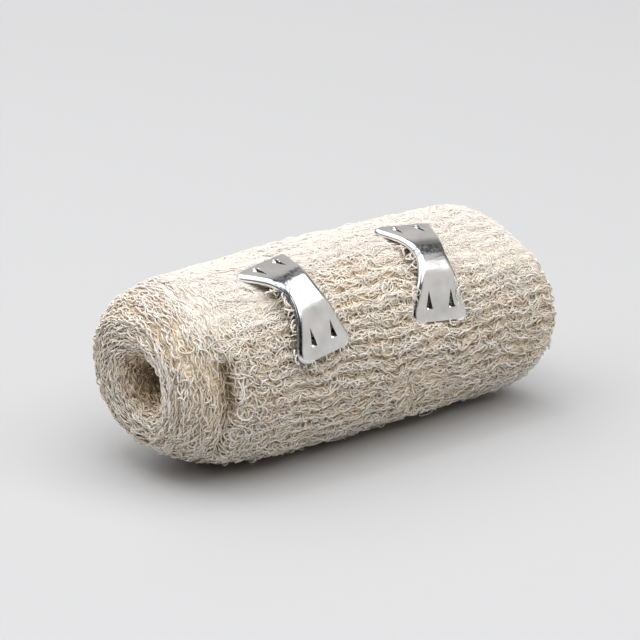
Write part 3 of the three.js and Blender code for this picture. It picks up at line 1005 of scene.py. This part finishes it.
laps = {
    # count, side (0 is the lower end), places along the strip, how far out, low, high, and how much larger
    "clip_left": [
        (9, 1, (-10.5, 1.0), (0.1, 0.8), -1.1, (0.1, 0.4), 1),
        (6, 0, (-12.2, -11.7), (0, 0), -1.1, (0.1, 0.4), 1),
        (2, -1, (-10.5, -9.0), (0.4, 0.8), -1.5, (-0.5, 0.0), 1),
        (16, -1, (-7.5, 4.5), (0.1, 0.7), -2.4, (-1.0, -0.5), 1),
    ],
    "clip_right": [
        (12, 1, (-11.0, -3.5), (-0.5, 1.0), -1.2, (0.3, 0.7), 1.6),
        (4, 0, (-12.1, -11.4), (0, 0), -1.1, (0.25, 0.5), 1),
        (6, -1, (-9.0, -5.0), (0.2, 0.7), -1.3, (0.1, 0.4), 1),
        (12, -1, (-6.5, 4.5), (0.1, 0.7), -2.4, (-1.0, -0.5), 1),
    ],
}
lapLoops = {
    "rings": 14, "size": (0.45, 0.85), "turns": (0.7, 1.1), "arch": 0.5, "across": (-5.0, 5.0),
    # their tone, and how far above their lowest point they keep painted shade, with painted light gained
    # above it
    "tone": 0.35, "shadedUpTo": 0.3,
}


# a few loops that stand beside the clips' edges or have slipped over them
def layLaps(node):
    place, t = np.array(clipMatrix(clipPlaces[node])), runOf(lapLoops)
    curves, tones = [], []
    for n, side, places, out, low, high, larger in laps[node]:
        along = spread(*places, n)
        across = side * (halfWidth(along) + spread(*out, n))
        if side == 0:
            across = spread(*lapLoops["across"], n)
        size = spread(*lapLoops["size"], n) * larger
        angle = 2 * pi * t * spread(*lapLoops["turns"], n) + spread(0, 2 * pi, n)
        across, along = across + size * np.cos(angle), along + size * np.sin(angle)
        lift = low + np.sin(pi * t) ** lapLoops["arch"] * (spread(*high, n) - low)
        y, z = onStrip(along, lift)
        curves.append(np.stack([across, y, z], -1) @ place[:3, :3].T + place[:3, 3])
        # painted shade low down, painted light as they rise
        proud = np.clip(lift - low - lapLoops["shadedUpTo"], 0, 1)
        tones.append(lapLoops["tone"] + threads["lighten"] * proud)
    points, tones = np.concatenate(curves), np.concatenate(tones)
    radius = dice.uniform(threads["thin"], threads["thick"], len(points))
    threadMesh("lapThreads_" + node, points, radius, tones, np.zeros_like(tones))


for node in clipPlaces:
    layLaps(node)

clipGrid = {
    "long": 96, "wide": 30,
    "crowding": 0.98,  # how much closer the rows lie towards the ends
    "edgeCrowding": 0.8,  # and the columns towards the edges
    "belowRim": 0.75,  # share of the rounding that the rim's own height leaves out
    "roundedEdge": 0.06, "roundedFrom": 50,  # the cut edges' rounding, in millimetres, and from which angle
}


def joinBoolean(obj, other, operation):
    modifier = obj.modifiers.new(operation.lower(), "BOOLEAN")
    modifier.operation, modifier.object, modifier.solver = operation, other, "EXACT"
    onlySelect(obj)
    bpy.ops.object.modifier_apply(modifier=modifier.name)
    bpy.data.objects.remove(other)


def thicken(obj, thickness):
    solidify = obj.modifiers.new("sheet", "SOLIDIFY")
    solidify.thickness, solidify.offset = thickness, -1
    applyAll(obj)


# a strip with a waist, its long edges rolled down, bent over the cut end
def bentStrip(name, lean):
    obj, u, v = addGrid(name, clipGrid["long"], clipGrid["wide"])
    half = clipShape["half"]
    along = (np.sin((u - 0.5) * pi * clipGrid["crowding"]) / np.sin(clipGrid["crowding"] / 2 * pi)) * half
    flatWidth = halfWidth(along)
    fade = rising(np.abs(along), half, half - clipShape["rimFade"]) ** 0.5
    rounding = clipShape["leastRounding"] + clipShape["rounding"] * fade
    flange = (clipShape["rim"] - clipShape["sheet"]) * fade - rounding * clipGrid["belowRim"]
    flange = np.maximum(flange, 0)
    # runs across the flat, round the edge and down the flange
    flat = flatWidth - rounding
    share = np.abs(np.sin((v - 0.5) * pi)) ** clipGrid["edgeCrowding"]
    reach = share * (flat + rounding * pi / 2 + flange)
    bend = np.clip((reach - flat) / rounding, 0, pi / 2)
    down = np.maximum(reach - flat - rounding * pi / 2, 0)
    across = np.sign(v - 0.5) * (np.minimum(reach, flat) + rounding * np.sin(bend))
    # one edge of the bend stands a little higher
    tipped = lean * across * np.exp(-((along / clipShape["leanReach"]) ** 4))
    y, z = onStrip(trimmed(along), tipped - rounding * (1 - np.cos(bend)) - down)
    movePoints(obj, np.stack([across, y, z], 1))
    thicken(obj, clipShape["sheet"])
    return obj


# takes points beside the strip's middle line to a tooth's place at one of its ends
def atTooth(local, reach, side, end):
    y, z = onStrip(reach, 0.0)
    slope = clipShape["bendArc"] / clipShape["bendRadius"]
    points = local @ np.array(Matrix.Rotation(-slope, 3, "X")).T
    points += np.array([side * clipShape["toothSpacing"] / 2, y, z])
    if end < 0:
        points[:, :2] *= -1
    return points


# three-cornered cutter for the hole that a tooth leaves
def addCutter(side, end):
    bpy.ops.mesh.primitive_cylinder_add(vertices=3, radius=1, depth=3, location=(0, 0, 0))
    cutter = bpy.context.object
    points = pointsOf(cutter)
    apex = points[:, 1] > 0
    local = points.copy()
    local[:, 0] = np.where(apex, 0, np.sign(points[:, 0]) * clipShape["toothWidth"] / 2)
    local[:, 1] = np.where(apex, -0.5, 0.5) * clipShape["toothLength"]
    local[:, :2] *= 1 - clipShape["undercut"] * points[:, 2:]
    middle = clipShape["toothBase"] - clipShape["toothLength"] / 2
    movePoints(cutter, atTooth(local, middle, side, end))
    cleanUp(cutter, 1e-6, 30)
    return cutter


toothShape = {
    # how far from the root along the strip, how high, and half of the width
    "fold": [
        (0.55, -0.1, 0.7), (0.32, 0.08, 0.68), (0.1, 0.22, 0.64), (-0.12, 0.25, 0.6), (-0.34, 0.12, 0.55),
        (-0.55, -0.06, 0.5), (-0.72, -0.3, 0.45), (-0.8, -0.7, 0.4), (-0.8, -1.4, 0.3), (-0.76, -2.3, 0.2),
        (-0.72, -3.2, 0.1),
    ],
    "foldFrom": -0.2,  # above this height the tooth is the fold at its root
    "across": 6, "crown": 0.3, "sheet": 0.3, "sunk": 0.03,
    # how large the fold is, and how it tips sideways, at each end of the strip
    "lower": (1.0, -0.25), "upper": (1.6, 0.36),
}


# a tooth bent down from the far side of its hole, with a rounded fold at its root
def addTooth(side, end):
    fold = np.array(toothShape["fold"])
    obj, u, v = addGrid("tooth", len(fold) - 1, toothShape["across"])
    reach, drop, width = fold[np.round(u * (len(fold) - 1)).astype(int)].T
    swell, tip = toothShape["upper"] if end > 0 else toothShape["lower"]
    across = (2 * v - 1) * width * swell**0.5
    crowned = swell * drop - toothShape["crown"] * (2 * v - 1) ** 2
    drop = np.where(drop > toothShape["foldFrom"], crowned, drop) + tip * across
    local = np.stack([across, reach, drop - toothShape["sunk"]], 1)
    movePoints(obj, atTooth(local, clipShape["toothBase"], side, end))
    thicken(obj, toothShape["sheet"])
    return obj


# where the bend is scuffed and painted with a dark reflection that trims its highlight: places across the
# strip, where the patch starts along it there, and its end, and how far up the left rim the painted dark
# reflection runs
scuffsAndDarkReflections = {
    "clip_left": {
        "across": (-2.6, -2.1, -1.3, 0.5, 2.2), "start": (-0.8, 0.0, 1.9, 2.7, 3.4), "end": 4.6, "rimTo": 3.0,
    },
    "clip_right": {"across": (-2.6, 2.6), "start": (-0.4, 0.0), "end": 2.4, "rimTo": -1.5},
}
scuffingAndDarkReflection = {
    "amount": 0.5, "startFade": 0.8, "endFade": 1.2, "face": -0.2,  # on what lies above this lift
    "rim": (-0.3, -0.4), "rimFade": 1.5,
}


def wearAndDarkReflectionOf(points, place, scuffAndReflection):
    local = (points - place[:3, 3]) @ place[:3, :3]
    along, lift = stripCoords(local[:, 1], local[:, 2])
    # the patch over the bend: partly real scuffing, partly painted dark reflection that trims the bend's
    # highlight
    start = np.interp(local[:, 0], scuffAndReflection["across"], scuffAndReflection["start"])
    past = np.clip(0.5 + (along - start) / scuffingAndDarkReflection["startFade"], 0, 1)
    before = np.clip(0.5 + (scuffAndReflection["end"] - along) / scuffingAndDarkReflection["endFade"], 0, 1)
    scuffedAndShaded = scuffingAndDarkReflection["amount"] * past * before * (lift > scuffingAndDarkReflection["face"])
    # painted dark reflection on the turned-down face of the left rim, up to where it fades
    upTo = rising(along, scuffAndReflection["rimTo"], scuffAndReflection["rimTo"] - scuffingAndDarkReflection["rimFade"])
    return scuffedAndShaded + rising(lift, *scuffingAndDarkReflection["rim"]) * (local[:, 0] < 0) * upTo


def makeClip(name, node):
    strip = bentStrip(name, clipPlaces[node]["lean"])
    cleanUp(strip, 1e-5, 35)
    corners = [(side, end) for end in (-1, 1) for side in (-1, 1)]
    for side, end in corners:
        joinBoolean(strip, addCutter(side, end), "DIFFERENCE")
    for side, end in corners:
        tooth = addTooth(side, end)
        cleanUp(tooth, 1e-5, 35)
        joinBoolean(strip, tooth, "UNION")
    place = np.array(clipMatrix(clipPlaces[node]))
    points = pointsOf(strip) @ place[:3, :3].T + place[:3, 3] + axisPoint
    movePoints(strip, points * mm)
    bevel = strip.modifiers.new("edges", "BEVEL")
    bevel.width, bevel.segments = clipGrid["roundedEdge"] * mm, 2
    bevel.limit_method, bevel.angle_limit = "ANGLE", radians(clipGrid["roundedFrom"])
    applyAll(strip)
    cleanUp(strip, 1e-8, 40)
    points = pointsOf(strip) / mm - axisPoint
    addPointValues(strip.data, "wearAndDarkReflection", wearAndDarkReflectionOf(points, place, scuffsAndDarkReflections[node]))
    strip.data.materials.clear()
    strip.data.materials.append(metalMaterial)
    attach(strip, "root")
    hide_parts(node)
    print(name, len(strip.data.polygons))


makeClip("clipLeft", "clip_left")
makeClip("clipRight", "clip_right")

view = {"azimuth": 37.0, "elevation": 21.0, "distance": 0.5, "lens": 164.5, "sensor": 36.0, "raise": 2.77}
stage = {
    "size": 2.6, "front": 0.25,
    "shader": {"Base Color": (0.481, 0.484, 0.494, 1), "Roughness": 0.7, "Specular IOR Level": 0.2},
}


# a pale table top: it starts a little in front of the roll and runs on far behind
def makeFloor():
    turn = radians(view["azimuth"])
    behind = stage["size"] / 2 - stage["front"]
    bpy.ops.mesh.primitive_plane_add(
        size=stage["size"], location=(behind * np.sin(turn), behind * np.cos(turn), 0), rotation=(0, 0, -turn)
    )
    floor = bpy.context.object
    floor.name = "floor"
    material, _, shader = newMaterial("paleFloor")
    adjust(shader, stage["shader"])
    floor.data.materials.append(material)


makeFloor()

# which way each hangs, and which way its second side runs
lamps = [
    {
        "name": "wide", "watts": 26, "size": (1.6, 1.74),
        "towards": (0.023, -0.317, 0.948), "along": (0.09, -0.96, -0.27),
    },
    {"name": "back", "watts": 11.5, "size": (1.4, 1.4), "towards": (-0.2, 0.5, 0.86), "along": (0, 1, 0)},
    {"name": "left", "watts": 6.2, "size": (1.2, 1.2), "towards": (-0.68, 0.2, 0.70), "along": (0, 1, 0)},
]
lampsAway = 1.4


def addLamp(lamp):
    light = bpy.data.lights.new(lamp["name"], "AREA")
    light.shape, light.energy = "RECTANGLE", lamp["watts"]
    light.size, light.size_y = lamp["size"]
    outwards = Vector(lamp["towards"]).normalized()
    across = Vector(lamp["along"]).cross(outwards).normalized()
    obj = bpy.data.objects.new(lamp["name"], light)
    bpy.context.scene.collection.objects.link(obj)
    obj.location = outwards * lampsAway
    obj.rotation_euler = Matrix((across, outwards.cross(across), outwards)).transposed().to_euler()


for lamp in lamps:
    addLamp(lamp)

# the room: a dim grey with paler walls to the right and a darker one to the left
room = {
    "color": (1.0, 0.965, 0.92),
    "dim": 0.1,
    # which way each wall lies, how near to that way it starts and is full, and its glow
    "walls": [
        ((0.60, -0.78, 0.18), (0.66, 0.95), 0.6),
        ((0.56, 0.78, 0.28), (0.80, 0.96), 0.5),
        ((0.68, 0.25, 0.68), (0.84, 0.98), 0.12),
        ((-0.55, -0.83, 0.0), (0.45, 0.85), -0.1),
    ],
    "seen": 0.78,  # what the camera sees past the table top
}


def makeRoom():
    world = bpy.data.worlds.new("studio")
    world.use_nodes = True
    tree = world.node_tree
    direction = tree.nodes.new("ShaderNodeTexCoord").outputs["Generated"]
    light = room["dim"]
    for towards, reach, glow in room["walls"]:
        facing = addNode(tree, "ShaderNodeVectorMath", operation="DOT_PRODUCT")
        tree.links.new(direction, facing.inputs[0])
        facing.inputs[1].default_value = Vector(towards).normalized()
        added = ranged(tree, facing.outputs["Value"], reach, (0.0, glow), smooth=True)
        light = calculate(tree, "ADD", added, light)
    seen = addNode(tree, "ShaderNodeMix", data_type="FLOAT")
    tree.links.new(tree.nodes.new("ShaderNodeLightPath").outputs["Is Camera Ray"], seen.inputs["Factor"])
    tree.links.new(light, seen.inputs[2])
    seen.inputs[3].default_value = room["seen"]
    background = tree.nodes["Background"]
    background.inputs["Color"].default_value = (*room["color"], 1)
    tree.links.new(seen.outputs[0], background.inputs["Strength"])
    bpy.context.scene.world = world


makeRoom()


def addCamera():
    a, e = radians(view["azimuth"]), radians(view["elevation"])
    back = Vector((-np.sin(a) * np.cos(e), -np.cos(a) * np.cos(e), np.sin(e)))
    up = Vector((np.sin(e) * np.sin(a), np.sin(e) * np.cos(a), np.cos(e)))
    middle = Vector(axisPoint * mm)
    camera = bpy.data.objects.new("camera", bpy.data.cameras.new("camera"))
    camera.data.lens, camera.data.sensor_width = view["lens"], view["sensor"]
    camera.location = middle + back * view["distance"]
    target = middle + up * view["raise"] * mm
    camera.rotation_euler = (target - camera.location).to_track_quat("-Z", "Y").to_euler()
    bpy.context.scene.collection.objects.link(camera)
    bpy.context.scene.camera = camera


addCamera()
bpy.context.scene.view_settings.view_transform = "Standard"
print("floor, room, camera and", len(lamps), "lamps")
